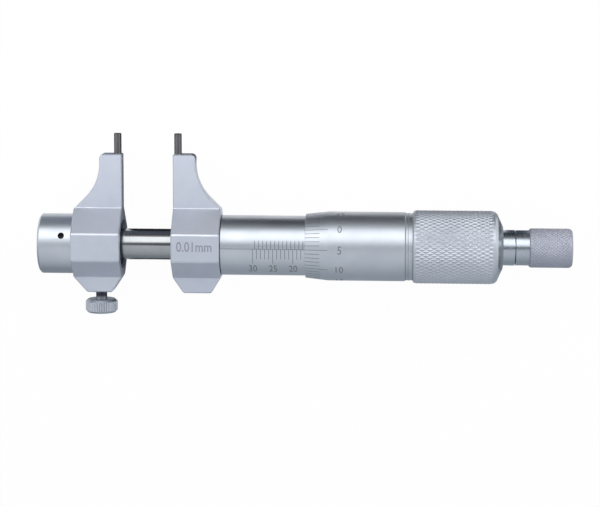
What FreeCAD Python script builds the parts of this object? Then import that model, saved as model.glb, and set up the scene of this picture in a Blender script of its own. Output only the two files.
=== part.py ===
"""Inside micrometer with two jaws, 5 to 30 mm, as an assembly of its separate pieces.

Millimetres. +X runs along the instrument's axis towards the ratchet, +Y along the jaws' arms and +Z out of the side
with the scale. The origin is on the axis, in the plane of the fixed jaw's inner face.
"""

import FreeCAD, Part
import itertools
import math
import os
import Sketcher

doc = FreeCAD.newDocument("inside_micrometer")

# Driving sizes
SIZES = {
    # Reading and travel
    "reading": 17.05,
    "least_reading": 5.0,
    "most_reading": 30.0,
    # Both jaws
    "hub_across_flats": 16.3,
    "hub_flat": 6.8,
    "arm_thickness": 4.4,
    "arm_width": 5.6,
    "arm_top": 22.9,
    "arm_corner": 0.7,
    "shoulder_radius": 12.0,
    "tab_thickness": 7.0,
    "tab_bottom": 11.9,
    "jaw_bevel": 0.25,
    # Moving jaw
    "moving_hub_width": 12.2,
    "moving_shoulder_height": 20.55,
    "moving_shoulder_slope": 45.0,
    "moving_tab_width": 6.2,
    "moving_tab_centre": 5.6,
    "recess_diameter": 12.5,
    "recess_depth": 1.8,
    "boss_diameter": 11.0,
    "boss_length": 3.5,
    # Fixed jaw
    "fixed_hub_width": 12.05,
    "fixed_shoulder_height": 20.45,
    "fixed_shoulder_slope": 45.0,
    "fixed_tab_width": 7.0,
    "fixed_tab_centre": 6.2,
    "spigot_length": 7.5,
    # Measuring pins
    "pin_diameter": 1.87,
    "pin_height": 5.1,
    "pin_edge_distance": 0.2,
    "pin_shank_diameter": 1.5,
    "pin_shank_length": 6.0,
    "pin_chamfer": 0.12,
    # Guide tube and its key
    "tube_diameter": 7.8,
    "tube_left_overhang": 1.75,
    "tube_engagement": 1.9,
    "collar_diameter": 10.4,
    "collar_thickness": 1.4,
    "keyway_width": 2.0,
    "keyway_depth": 0.9,
    "keyway_spare": 1.2,
    "key_diameter": 3.0,
    "key_gap": 0.1,
    "key_tongue_length": 2.2,
    "key_shoulder": 6.6,
    "key_screw_diameter": 4.0,
    "key_screw_recess": 0.5,
    "tube_nut_diameter": 9.6,
    # End cap
    "cap_diameter": 15.1,
    "cap_length": 8.55,
    "cap_end_wall": 1.1,
    "cap_rim": 0.5,
    "spanner_hole_diameter": 1.6,
    "spanner_hole_depth": 1.4,
    "spanner_hole_distance": 2.45,
    "spanner_hole_angle": 22.0,
    # Barrel and scale sleeve
    "sleeve_diameter": 15.05,
    "sleeve_wall": 1.0,
    "sleeve_joint": 0.25,
    "sleeve_spare": 1.85,
    "barrel_shoulder": 0.75,
    "barrel_guide_length": 15.0,
    "barrel_relief_diameter": 8.4,
    "nut_spare": 0.7,
    "barrel_slit_length": 10.0,
    "barrel_slit_width": 0.6,
    "adjusting_nut_rim": 0.35,
    "adjusting_nut_thickness": 5.0,
    "adjusting_nut_setback": 3.0,
    "adjusting_slot_width": 1.6,
    "adjusting_slot_depth": 0.7,
    # Measuring screw
    "spindle_diameter": 5.0,
    "thread_diameter": 6.0,
    "thrust_collar_diameter": 6.6,
    "thrust_collar_thickness": 2.0,
    "thrust_washer_diameter": 7.0,
    "thrust_washer_thickness": 0.5,
    "spindle_stub_diameter": 3.4,
    "spindle_nut_diameter": 6.6,
    "spindle_nut_thickness": 1.3,
    "spindle_neck_length": 1.5,
    "spindle_seat_gap": 0.15,
    "taper_length": 6.5,
    "taper_large_diameter": 5.8,
    "taper_small_diameter": 5.2,
    # Thimble, with its front edge placed by the scale's mark for the greatest reading
    "scale_start": 8.35,
    "thimble_length": 49.2,
    "thimble_edge_wall": 0.4,
    "thimble_bevel_rise": 0.65,
    "thimble_bevel_length": 5.8,
    "thimble_plain_length": 24.9,
    "groove_depth": 0.2,
    "groove_length": 2.0,
    "knurl_rise": 0.5,
    "knurl_length": 20.95,
    "knurl_edge": 0.35,
    "knurl_corner": 0.75,
    "thimble_end_diameter": 10.6,
    # Ratchet
    "carrier_diameter": 8.9,
    "carrier_length": 3.0,
    "carrier_spigot_diameter": 5.1,
    "carrier_spigot_length": 1.8,
    "carrier_stud_diameter": 3.0,
    "carrier_stud_length": 5.6,
    "stud_hole_spare": 0.4,
    "knob_step_diameter": 5.5,
    "knob_step_length": 0.35,
    "stem_diameter": 3.6,
    "stem_square": 2.5,
    "knob_neck_diameter": 8.8,
    "knob_neck_length": 3.2,
    "knob_diameter": 9.85,
    "knob_length": 10.7,
    "knob_chamfer": 0.4,
    "knob_floor": 1.4,
    "knob_bore_diameter": 7.0,
    "wheel_diameter": 6.6,
    "wheel_thickness": 1.6,
    "wheel_teeth": 12,
    "tooth_width": 0.95,
    "tooth_height": 0.4,
    "spring_diameter": 5.4,
    "spring_wire": 0.5,
    "spring_turns": 4.0,
    "stop_screw_head_diameter": 6.0,
    "stop_screw_head_thickness": 1.6,
    "stop_screw_recess": 1.0,
    "stop_screw_diameter": 2.0,
    "stop_screw_length": 5.0,
    # Lock screw and shoe
    "lock_thread_diameter": 3.0,
    "lock_neck_diameter": 2.8,
    "lock_neck_length": 2.15,
    "lock_run_out": 0.5,
    "lock_head_diameter": 8.1,
    "lock_head_thickness": 3.4,
    "lock_head_chamfer": 0.6,
    "lock_flutes": 40,
    "lock_flute_depth": 0.2,
    "lock_flute_width": 0.45,
    "shoe_diameter": 2.2,
    "shoe_length": 2.35,
    "shoe_gap": 0.15,
    # Set screws in the jaws' backs
    "set_screw_diameter": 2.5,
    "set_screw_recess": 0.3,
    "set_screw_distance": 8.3,
    "screw_slot_width": 0.45,
    "screw_slot_depth": 0.6,
    # Running and seating clearances
    "guide_clearance": 0.04,
    "spindle_clearance": 0.05,
    "thread_clearance": 0.05,
    "thimble_clearance": 0.1,
    "end_play": 0.03,
    "key_clearance": 0.04,
    "key_floor_gap": 0.12,
    "tooth_clearance": 0.06,
}


class Size:
    """A length, angle or count: its value now, and the sheet expression that it follows."""

    def __init__(self, value, text):
        self.value = value
        self.text = text

    def join(self, other, sign, value):
        return Size(value, f"({self.text} {sign} {size_of(other).text})")

    def __add__(self, other):
        return self.join(other, "+", self.value + size_of(other).value)

    def __sub__(self, other):
        return self.join(other, "-", self.value - size_of(other).value)

    def __mul__(self, other):
        return self.join(other, "*", self.value * size_of(other).value)

    def __truediv__(self, other):
        return self.join(other, "/", self.value / size_of(other).value)

    def __radd__(self, other):
        return self + other

    def __rsub__(self, other):
        return size_of(other) - self

    def __rmul__(self, other):
        return self * other

    def __neg__(self):
        return Size(-self.value, f"(0 - {self.text})")


def size_of(number):
    return number if isinstance(number, Size) else Size(float(number), repr(number))


def sine(angle):
    return Size(math.sin(math.radians(angle.value)), f"sin({angle.text})")


def cosine(angle):
    return Size(math.cos(math.radians(angle.value)), f"cos({angle.text})")


def write_row(sheet, row, alias, content):
    sheet.set(f"A{row}", alias)
    sheet.set(f"B{row}", content)
    sheet.setAlias(f"B{row}", alias)
    return Size(0.0, f"{sheet.Name}.{alias}")


class Sheet:
    """The driving sizes by name."""


sizes = Sheet()
sizes_sheet = doc.addObject("Spreadsheet::Sheet", "sizes")
for row, (alias, number) in enumerate(SIZES.items(), 1):
    entry = write_row(sizes_sheet, row, alias, str(number))
    entry.value = float(number)
    setattr(sizes, alias, entry)

places_sheet = doc.addObject("Spreadsheet::Sheet", "places")
place_rows = itertools.count(1)


def place(alias, size):
    """Keep a size that is worked out from others, such as where a piece stands, under a name of its own."""
    entry = write_row(places_sheet, next(place_rows), alias, "=" + size.text)
    entry.value = size.value
    return entry


s = sizes

# Where things stand along the axis at rest
travel_left = place("travel_left", s.most_reading - s.reading)
travel_right = place("travel_right", s.reading - s.least_reading)
pin_centre = place("pin_centre", s.pin_edge_distance + s.pin_diameter / 2)
moving_face = place("moving_face", 0 - (s.reading - 2 * (s.pin_edge_distance + s.pin_diameter)))
moving_back = place("moving_back", moving_face - s.moving_hub_width)
boss_end = place("boss_end", moving_back - s.boss_length)
tube_left = place("tube_left", boss_end - s.tube_left_overhang)
tube_right = place("tube_right", s.fixed_hub_width + travel_left + s.tube_engagement)
cap_left = place("cap_left", moving_back - s.cap_length)
lock_axis = place("lock_axis", moving_face - s.moving_tab_centre)
left_washer = place("left_washer", tube_left - s.thrust_washer_thickness - s.end_play / 2)
right_washer = place("right_washer", tube_right + s.end_play / 2)
spindle_left = place("spindle_left", left_washer - s.end_play - s.spindle_nut_thickness)
collar_left = place("collar_left", right_washer + s.thrust_washer_thickness + s.end_play)
thread_left = place("thread_left", collar_left + s.thrust_collar_thickness)
nut_left = place("nut_left", thread_left + travel_right + s.nut_spare)
scale_mark = place("scale_mark", s.fixed_hub_width + s.scale_start)
thimble_left = place("thimble_left", scale_mark + travel_left)
thimble_right = place("thimble_right", thimble_left + s.thimble_length)
spindle_right = place("spindle_right", thimble_right - s.carrier_spigot_length - s.spindle_seat_gap)
taper_left = place("taper_left", spindle_right - s.taper_length)
thread_right = place("thread_right", taper_left - s.spindle_neck_length)
barrel_right = place("barrel_right", thread_right - travel_left)
sleeve_right = place("sleeve_right", thimble_left + travel_right + s.sleeve_spare)
step_right = place("step_right", thimble_right + s.carrier_length + s.knob_step_length)
knob_left = place("knob_left", step_right + s.end_play)
cavity_left = place("cavity_left", knob_left + s.knob_floor)
wheel_left = place("wheel_left", cavity_left + s.tooth_clearance)
wheel_right = place("wheel_right", wheel_left + s.wheel_thickness)
knob_right = place("knob_right", knob_left + s.knob_neck_length + s.knob_length)
stem_right = place("stem_right", knob_right - s.stop_screw_recess - s.stop_screw_head_thickness)

# Radii and heights that several pieces share
tube_radius = place("tube_radius", s.tube_diameter / 2)
tube_bore_radius = place("tube_bore_radius", s.spindle_diameter / 2 + s.spindle_clearance)
guide_bore_radius = place("guide_bore_radius", tube_radius + s.guide_clearance)
barrel_radius = place("barrel_radius", s.sleeve_diameter / 2 - s.sleeve_wall)
spigot_radius = place("spigot_radius", barrel_radius - s.barrel_shoulder)
nut_bore_radius = place("nut_bore_radius", s.thread_diameter / 2 + s.thread_clearance)
boss_radius = place("boss_radius", s.boss_diameter / 2)
hub_half = place("hub_half", s.hub_across_flats / 2)
barrel_left = place("barrel_left", s.fixed_hub_width - s.spigot_length)
fixed_key = place("fixed_key", s.fixed_tab_centre)
thimble_bore_radius = place("thimble_bore_radius", s.sleeve_diameter / 2 + s.thimble_clearance)
shoe_hole_radius = place("shoe_hole_radius", s.shoe_diameter / 2 + s.key_clearance)
shoe_top = place("shoe_top", 0 - (s.spindle_diameter / 2 + s.shoe_gap))
shoe_bottom = place("shoe_bottom", shoe_top - s.shoe_length)
keyway_floor = place("keyway_floor", tube_radius - s.keyway_depth)
key_top = place("key_top", 0 - (keyway_floor + s.key_floor_gap))

# Turns that point a cylinder's own Z axis along another, and a piece's own X axis along another
ALONG_X = FreeCAD.Rotation(FreeCAD.Vector(0, 1, 0), 90)
ALONG_Y = FreeCAD.Rotation(FreeCAD.Vector(1, 0, 0), -90)
ALONG_MINUS_Z = FreeCAD.Rotation(FreeCAD.Vector(1, 0, 0), 180)
LEVEL = FreeCAD.Rotation()
POINTING_UP = FreeCAD.Rotation(FreeCAD.Vector(0, 0, 1), 90)
POINTING_DOWN = FreeCAD.Rotation(FreeCAD.Vector(0, 0, 1), -90)
POINTING_BACK = FreeCAD.Rotation(FreeCAD.Vector(0, 1, 0), 90)

# How far a cut runs past the surface it starts from
OVERCUT = 1.0


pieces = []


def bind(thing, path, size):
    """Tie one property to the sheet."""
    size = size_of(size)
    thing.setExpression(path, size.text)


def new_body(name, x=0, y=0, z=0, rotation=LEVEL):
    """A separate piece of the instrument, with its own zero at x, y, z."""
    body = doc.addObject("PartDesign::Body", name)
    body.Label = name
    body.Placement = FreeCAD.Placement(FreeCAD.Vector(), rotation)
    pieces.append(body)
    for axis, at in zip("xyz", (x, y, z)):
        bind(body, f"Placement.Base.{axis}", at)
    return body


def origin_item(body, role):
    return next(item for item in body.Origin.OriginFeatures if item.Role == role)


def new_sketch(body, name, role):
    sketch = body.newObject("Sketcher::SketchObject", name)
    sketch.AttachmentSupport = [(origin_item(body, role), "")]
    sketch.MapMode = "FlatFace"
    return sketch


def pin_point(sketch, geometry, end, across, up):
    """Hold one point of a sketch at two sizes from the sketch's zero."""
    for kind, at, axis_line in (("DistanceX", across, -2), ("DistanceY", up, -1)):
        if at.value == 0 and at.text == "0":
            sketch.addConstraint(Sketcher.Constraint("PointOnObject", geometry, end, axis_line))
            continue
        index = sketch.addConstraint(Sketcher.Constraint(kind, -1, 1, geometry, end, at.value))
        sketch.setExpression(f"Constraints[{index}]", at.text)


def add_outline(sketch, corners):
    """A closed outline. A corner is (across, up), or (across, up, radius, centre across, centre up) where the edge
    that follows it is an arc of less than half a turn."""
    corners = [[size_of(part) for part in corner] for corner in corners]
    first = sketch.GeometryCount
    edges = []
    for corner, following in zip(corners, corners[1:] + corners[:1]):
        start = FreeCAD.Vector(corner[0].value, corner[1].value, 0)
        end = FreeCAD.Vector(following[0].value, following[1].value, 0)
        radius_and_centre = corner[2:]
        if not radius_and_centre:
            edges.append((Part.LineSegment(start, end), 1, 2))
            continue
        radius, across, up = (part.value for part in radius_and_centre)
        circle = Part.Circle(FreeCAD.Vector(across, up, 0), FreeCAD.Vector(0, 0, 1), radius)
        start_angle = math.atan2(start.y - up, start.x - across)
        end_angle = math.atan2(end.y - up, end.x - across)
        if (end_angle - start_angle) % math.tau < math.pi:
            edges.append((Part.ArcOfCircle(circle, start_angle, end_angle), 1, 2))
        else:
            edges.append((Part.ArcOfCircle(circle, end_angle, start_angle), 2, 1))
    for edge, _, _ in edges:
        sketch.addGeometry(edge)
    for number, corner in enumerate(corners):
        _, start, end = edges[number]
        after = (number + 1) % len(corners)
        pin_point(sketch, first + number, start, corner[0], corner[1])
        sketch.addConstraint(
            Sketcher.Constraint("Coincident", first + number, end, first + after, edges[after][1])
        )
        if corner[2:]:
            index = sketch.addConstraint(Sketcher.Constraint("Radius", first + number, corner[2].value))
            sketch.setExpression(f"Constraints[{index}]", corner[2].text)


def turn(body, name, corners):
    """Turn a profile of (along, radius) corners about the body's X axis."""
    sketch = new_sketch(body, f"{name}_profile", "XY_Plane")
    add_outline(sketch, corners)
    revolution = body.newObject("PartDesign::Revolution", name)
    revolution.Profile = sketch
    revolution.ReferenceAxis = (sketch, ["H_Axis"])
    revolution.Angle = 360
    return revolution


def pad(body, name, sketch, length, midplane=False):
    feature = body.newObject("PartDesign::Pad", name)
    feature.Profile = sketch
    feature.Midplane = midplane
    bind(feature, "Length", length)
    return feature


def cut_through(body, name, sketch):
    """Cut an outline right through the piece, both ways from the sketch."""
    feature = body.newObject("PartDesign::Pocket", name)
    feature.Profile = sketch
    feature.Midplane = True
    feature.Type = "ThroughAll"
    return feature


def cylinder(body, name, radius, height, at, rotation, kind="Subtractive"):
    """A hole, or with kind Additive a boss, that starts at a point and runs along its rotated Z axis."""
    feature = body.newObject(f"PartDesign::{kind}Cylinder", name)
    feature.Placement = FreeCAD.Placement(FreeCAD.Vector(), rotation)
    bind(feature, "Radius", radius)
    bind(feature, "Height", height)
    for axis, value in zip("xyz", at):
        bind(feature, f"Placement.Base.{axis}", value)
    return feature


def box(body, name, low, extent, kind="Subtractive"):
    """A rectangular cut, or with kind Additive a block, from its lowest corner."""
    feature = body.newObject(f"PartDesign::{kind}Box", name)
    for side, value in zip(("Length", "Width", "Height"), extent):
        bind(feature, side, value)
    for axis, value in zip("xyz", low):
        bind(feature, f"Placement.Base.{axis}", value)
    return feature


def around_axis(body, name, feature, count):
    """Repeat a feature evenly around the body's X axis."""
    pattern = body.newObject("PartDesign::PolarPattern", name)
    pattern.Originals = [feature]
    pattern.Axis = (origin_item(body, "X_Axis"), [""])
    pattern.Angle = 360
    bind(pattern, "Occurrences", count)
    body.Tip = pattern
    return pattern


def normal_at(face, point):
    u, v = face.Surface.parameter(point)
    return face.normalAt(u, v)


def convex_edges(shape, shortest):
    """The names of a solid's outer corners that are sharper than 20 degrees, and at least that long."""
    names = []
    for number, edge in enumerate(shape.Edges, 1):
        middle = edge.valueAt((edge.FirstParameter + edge.LastParameter) / 2)
        faces = shape.ancestorsOfType(edge, Part.Face)
        if len(faces) != 2 or edge.Length < shortest:
            continue
        one, other = (normal_at(face, middle) for face in faces)
        if one.dot(other) > math.cos(math.radians(20)):
            continue
        beside = middle + (one - other).normalize() * 0.02
        if not shape.isInside(beside, 1e-6, True):
            names.append(f"Edge{number}")
    return names


def chamfer(body, name, size, shortest):
    """Break every outer corner of the piece as it stands, apart from very short ones."""
    doc.recompute()
    base = body.Tip
    feature = body.newObject("PartDesign::Chamfer", name)
    feature.Base = (base, convex_edges(base.Shape, shortest))
    bind(feature, "Size", size)
    return feature


def jaw_form(body, hub_width, shoulder_height, slope, tab_width, tab_centre, outward):
    """The jaw's outer form. Its outline, seen from the scale side, has a tall arm flush with the inner face, a hollow
    shoulder down to the hub and a tapered tab below. Four flats then bring the arm and tab to their thickness and give
    the hub its eight sides. outward is 1 where the hub lies to the right of the inner face and -1 to the left."""
    arc_across = s.arm_width + s.shoulder_radius - s.shoulder_radius * cosine(slope)
    arc_up = shoulder_height - s.shoulder_radius * sine(slope)
    slope_end = arc_up - (hub_width - arc_across) * cosine(slope) / sine(slope)
    tab_top = (s.hub_across_flats - s.tab_thickness + s.hub_flat) / 2
    centre = s.arm_width + s.shoulder_radius
    outer_profile = [
        (s.arm_width - s.arm_corner, s.arm_top),
        (s.arm_width, s.arm_top - s.arm_corner),
        (s.arm_width, shoulder_height, s.shoulder_radius, centre, shoulder_height),
        (arc_across, arc_up),
        (hub_width, slope_end),
        (hub_width, -tab_top),
        (tab_centre + tab_width / 2, -s.tab_bottom),
        (tab_centre - tab_width / 2, -s.tab_bottom),
    ]
    corners = [(0, -tab_top), (0, s.arm_top)]
    for across, up, *arc in outer_profile:
        if arc:
            radius, arc_centre, arc_level = arc
            arc = [radius, outward * arc_centre, arc_level]
        corners.append((outward * across, up, *arc))
    outline = new_sketch(body, "outline", "XY_Plane")
    add_outline(outline, corners)
    pad(body, "form", outline, s.hub_across_flats, midplane=True)

    flats = new_sketch(body, "flats", "YZ_Plane")
    arm_foot = (s.hub_flat + s.hub_across_flats - s.arm_thickness) / 2
    beyond = hub_half + OVERCUT
    above = s.arm_top + OVERCUT
    below = s.tab_bottom + OVERCUT
    for side in (1, -1):
        add_outline(flats, [
            (s.hub_flat / 2, side * hub_half),
            (arm_foot, side * s.arm_thickness / 2),
            (above, side * s.arm_thickness / 2),
            (above, side * beyond),
            (s.hub_flat / 2, side * beyond),
        ])
        add_outline(flats, [
            (-s.hub_flat / 2, side * hub_half),
            (-tab_top, side * s.tab_thickness / 2),
            (-below, side * s.tab_thickness / 2),
            (-below, side * beyond),
            (-s.hub_flat / 2, side * beyond),
        ])
    cut_through(body, "sides", flats)
    chamfer(body, "bevels", s.jaw_bevel, 4 * s.jaw_bevel.value)


def slot(body, name, along, reach):
    """A screwdriver slot across the end of a turned piece that ends at along."""
    box(body, name, (along - s.screw_slot_depth, -s.screw_slot_width / 2, -reach),
        (s.screw_slot_depth + OVERCUT, s.screw_slot_width, 2 * reach))


def ring(name, left, length, bore_radius, outer_radius):
    """A plain turned ring."""
    body = new_body(name, left)
    turn(body, f"{name}_turned", [
        (0, bore_radius),
        (0, outer_radius),
        (length, outer_radius),
        (length, bore_radius),
    ])
    return body


def jaw_holes(body, outward, inner_radius):
    """The holes both jaws have: one in the arm's top for the measuring pin, and one in the back for the set screw."""
    cylinder(body, "pin_hole", s.pin_shank_diameter / 2, s.pin_shank_length + OVERCUT,
             (outward * pin_centre, s.arm_top - s.pin_shank_length, 0), ALONG_Y)
    cylinder(body, "set_screw_hole", s.set_screw_diameter / 2, hub_half + OVERCUT - inner_radius,
             (outward * s.set_screw_distance, 0, -inner_radius), ALONG_MINUS_Z)


def measuring_pin(name, along):
    """A carbide pin. Its thinner shank is pressed into the arm, down to the shoulder under its measuring end."""
    body = new_body(name, along, s.arm_top - s.pin_shank_length, 0, POINTING_UP)
    pin_end = s.pin_shank_length + s.pin_height
    turn(body, f"{name}_turned", [
        (0, 0),
        (0, s.pin_shank_diameter / 2),
        (s.pin_shank_length, s.pin_shank_diameter / 2),
        (s.pin_shank_length, s.pin_diameter / 2),
        (pin_end - s.pin_chamfer, s.pin_diameter / 2),
        (pin_end, s.pin_diameter / 2 - s.pin_chamfer),
        (pin_end, 0),
    ])


def set_screw(name, along, seat_radius):
    """A slotted set screw in a jaw's back, from what it presses on to just below the surface."""
    body = new_body(name, along, 0, -seat_radius, POINTING_BACK)
    length = hub_half - s.set_screw_recess - seat_radius
    turn(body, f"{name}_turned", [
        (0, 0),
        (0, s.set_screw_diameter / 2),
        (length, s.set_screw_diameter / 2),
        (length, 0),
    ])
    slot(body, f"{name}_slot", length, s.set_screw_diameter)


def thrust_washer(name, left):
    ring(name, left, s.thrust_washer_thickness, tube_bore_radius, s.thrust_washer_diameter / 2)


# The fixed jaw, with its zero on the axis at its inner face. Its bore guides the tube, its socket takes the barrel, and
# its tab holds the key from below.
fixed_jaw = new_body("fixed_jaw")
jaw_form(fixed_jaw, s.fixed_hub_width, s.fixed_shoulder_height, s.fixed_shoulder_slope, s.fixed_tab_width,
         s.fixed_tab_centre, 1)
cylinder(fixed_jaw, "guide_bore", guide_bore_radius, s.fixed_hub_width + OVERCUT, (-OVERCUT / 2, 0, 0), ALONG_X)
cylinder(fixed_jaw, "barrel_socket", spigot_radius, s.spigot_length + OVERCUT,
         (s.fixed_hub_width - s.spigot_length, 0, 0), ALONG_X)
cylinder(fixed_jaw, "key_hole", s.key_diameter / 2, s.key_shoulder, (s.fixed_tab_centre, -s.key_shoulder, 0), ALONG_Y)
cylinder(fixed_jaw, "key_screw_hole", s.key_screw_diameter / 2, s.tab_bottom - s.key_shoulder + OVERCUT,
         (s.fixed_tab_centre, -(s.tab_bottom + OVERCUT), 0), ALONG_Y)
jaw_holes(fixed_jaw, 1, spigot_radius - OVERCUT)

measuring_pin("fixed_pin", pin_centre)

# The barrel carries the sleeve outside, guides the tube at its front and is the measuring screw's nut at its back
# where slits let the adjusting nut close it.
barrel = new_body("barrel", barrel_left)
tail = barrel_right - s.barrel_slit_length - barrel_left
turn(barrel, "barrel_turned", [
    (0, guide_bore_radius),
    (0, spigot_radius),
    (s.spigot_length, spigot_radius),
    (s.spigot_length, barrel_radius),
    (tail, barrel_radius),
    (tail, spigot_radius),
    (barrel_right - barrel_left, spigot_radius),
    (barrel_right - barrel_left, nut_bore_radius),
    (nut_left - barrel_left, nut_bore_radius),
    (nut_left - barrel_left, s.barrel_relief_diameter / 2),
    (s.barrel_guide_length, s.barrel_relief_diameter / 2),
    (s.barrel_guide_length, guide_bore_radius),
])
cylinder(barrel, "key_passage", s.key_diameter / 2, spigot_radius + OVERCUT,
         (fixed_key - barrel_left, -(spigot_radius + OVERCUT), 0), ALONG_Y)
slit_reach = spigot_radius + OVERCUT
box(barrel, "upright_slits", (tail, -slit_reach, -s.barrel_slit_width / 2),
    (s.barrel_slit_length + OVERCUT, 2 * slit_reach, s.barrel_slit_width))
box(barrel, "level_slits", (tail, -s.barrel_slit_width / 2, -slit_reach),
    (s.barrel_slit_length + OVERCUT, s.barrel_slit_width, 2 * slit_reach))

# The sleeve with the millimetre scale is pushed over the barrel and leaves a fine joint beside the jaw.
sleeve_left = s.fixed_hub_width + s.sleeve_joint
ring("scale_sleeve", sleeve_left, sleeve_right - sleeve_left, barrel_radius, s.sleeve_diameter / 2)

# The adjusting nut closes the barrel's slit end on the screw. A pin spanner turns it by the slots in its rim.
adjusting_nut_radius = barrel_radius + s.adjusting_nut_rim
adjusting_nut = ring("adjusting_nut", barrel_right - s.adjusting_nut_setback - s.adjusting_nut_thickness,
                     s.adjusting_nut_thickness, spigot_radius, adjusting_nut_radius)
notch = box(adjusting_nut, "spanner_slot",
            (-OVERCUT, adjusting_nut_radius - s.adjusting_slot_depth, -s.adjusting_slot_width / 2),
            (s.adjusting_nut_thickness + 2 * OVERCUT, OVERCUT + s.adjusting_slot_depth, s.adjusting_slot_width))
around_axis(adjusting_nut, "spanner_slots", notch, 4)

# The key stands up through the fixed jaw's tab. Its tongue runs in the tube's keyway and stops the tube from turning.
guide_key = new_body("guide_key", s.fixed_tab_centre)
key_shank_top = -(tube_radius + s.key_gap)
tongue_width = s.keyway_width - 2 * s.key_clearance
cylinder(guide_key, "key_shank", s.key_diameter / 2, key_shank_top + s.key_shoulder, (0, -s.key_shoulder, 0),
         ALONG_Y, "Additive")
box(guide_key, "key_tongue", (-s.key_tongue_length / 2, -s.key_shoulder, -tongue_width / 2),
    (s.key_tongue_length, key_top + s.key_shoulder, tongue_width), "Additive")

key_screw = new_body("key_screw", s.fixed_tab_centre, -s.key_shoulder, 0, POINTING_DOWN)
key_screw_length = s.tab_bottom - s.key_screw_recess - s.key_shoulder
turn(key_screw, "key_screw_turned", [
    (0, 0),
    (0, s.key_screw_diameter / 2),
    (key_screw_length, s.key_screw_diameter / 2),
    (key_screw_length, 0),
])
slot(key_screw, "key_screw_slot", key_screw_length, s.key_screw_diameter)

set_screw("barrel_set_screw", s.set_screw_distance, spigot_radius)

# The moving jaw, with its zero on the axis at its inner face. The tube's collar seats in its recess, the end cap goes
# on its boss, and its tab is threaded for the lock screw.
moving_jaw = new_body("moving_jaw", moving_face)
jaw_form(moving_jaw, s.moving_hub_width, s.moving_shoulder_height, s.moving_shoulder_slope, s.moving_tab_width,
         s.moving_tab_centre, -1)
boss_reach = s.moving_hub_width + s.boss_length
cylinder(moving_jaw, "boss", boss_radius, s.boss_length + OVERCUT, (-boss_reach, 0, 0), ALONG_X, "Additive")
cylinder(moving_jaw, "tube_hole", tube_radius, boss_reach + OVERCUT, (-(boss_reach + OVERCUT / 2), 0, 0), ALONG_X)
cylinder(moving_jaw, "recess", s.recess_diameter / 2, s.recess_depth + OVERCUT, (-s.recess_depth, 0, 0), ALONG_X)
lock_bore_top = shoe_bottom + s.lock_run_out
cylinder(moving_jaw, "lock_thread", s.lock_thread_diameter / 2 + s.thread_clearance,
         lock_bore_top + s.tab_bottom + OVERCUT, (-s.moving_tab_centre, -(s.tab_bottom + OVERCUT), 0), ALONG_Y)
cylinder(moving_jaw, "shoe_hole", shoe_hole_radius, -lock_bore_top, (-s.moving_tab_centre, lock_bore_top, 0), ALONG_Y)
jaw_holes(moving_jaw, -1, tube_radius - OVERCUT)

measuring_pin("moving_pin", moving_face - pin_centre)

# The guide tube is the bright rod between the jaws. It slides but can't turn, and the measuring screw turns inside it.
guide_tube = new_body("guide_tube", tube_left)
collar_start = moving_face - s.recess_depth - tube_left
collar_end = collar_start + s.collar_thickness
turn(guide_tube, "guide_tube_turned", [
    (0, tube_bore_radius),
    (0, tube_radius),
    (collar_start, tube_radius),
    (collar_start, s.collar_diameter / 2),
    (collar_end, s.collar_diameter / 2),
    (collar_end, tube_radius),
    (tube_right - tube_left, tube_radius),
    (tube_right - tube_left, tube_bore_radius),
])
keyway_reach = s.key_diameter / 2 + s.keyway_spare
box(guide_tube, "keyway",
    (fixed_key - travel_right - keyway_reach - tube_left, -(tube_radius + OVERCUT), -s.keyway_width / 2),
    (travel_left + travel_right + 2 * keyway_reach, OVERCUT + s.keyway_depth, s.keyway_width))
cylinder(guide_tube, "shoe_passage", shoe_hole_radius, tube_radius + OVERCUT,
         (lock_axis - tube_left, -(tube_radius + OVERCUT), 0), ALONG_Y)

# The ring nut draws the tube's collar into the moving jaw's recess.
ring("tube_nut", tube_left, s.tube_left_overhang, tube_radius, s.tube_nut_diameter / 2)

thrust_washer("left_thrust_washer", left_washer)
thrust_washer("right_thrust_washer", right_washer)

# The end cap screws onto the moving jaw's boss by a pin spanner in its hole, and covers the tube's and screw's nuts.
end_cap = new_body("end_cap", cap_left)
cap_radius = s.cap_diameter / 2
turn(end_cap, "end_cap_turned", [
    (0, 0),
    (0, cap_radius - s.cap_rim),
    (s.cap_rim, cap_radius),
    (s.cap_length, cap_radius),
    (s.cap_length, boss_radius),
    (s.cap_end_wall, boss_radius),
    (s.cap_end_wall, 0),
])
hole_bottom = cap_radius - s.spanner_hole_depth
spanner_hole = cylinder(
    end_cap, "spanner_hole", s.spanner_hole_diameter / 2, s.spanner_hole_depth + OVERCUT,
    (s.cap_length - s.spanner_hole_distance, hole_bottom * sine(s.spanner_hole_angle),
     hole_bottom * cosine(s.spanner_hole_angle)),
    FreeCAD.Rotation(FreeCAD.Vector(-1, 0, 0), s.spanner_hole_angle.value))
bind(spanner_hole, "Placement.Rotation.Angle", s.spanner_hole_angle)

set_screw("tube_set_screw", moving_face - s.set_screw_distance, tube_radius)

# The measuring screw. Its collar and the nut on its stub hold it endways on the tube, and its taper holds the thimble.
spindle = new_body("spindle", spindle_left)
stud_left = thimble_right - s.carrier_spigot_length - s.carrier_stud_length
stations = [
    (0, s.spindle_nut_thickness, s.spindle_stub_diameter),
    (s.spindle_nut_thickness, collar_left - spindle_left, s.spindle_diameter),
    (collar_left - spindle_left, thread_left - spindle_left, s.thrust_collar_diameter),
    (thread_left - spindle_left, thread_right - spindle_left, s.thread_diameter),
    (thread_right - spindle_left, taper_left - spindle_left, s.taper_small_diameter),
]
steps = [(at, diameter / 2) for start, end, diameter in stations for at in (start, end)]
turn(spindle, "spindle_turned", [
    (0, 0),
    *steps,
    (taper_left - spindle_left, s.taper_large_diameter / 2),
    (spindle_right - spindle_left, s.taper_small_diameter / 2),
    (spindle_right - spindle_left, 0),
])
stud_hole_left = stud_left - s.stud_hole_spare
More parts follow.
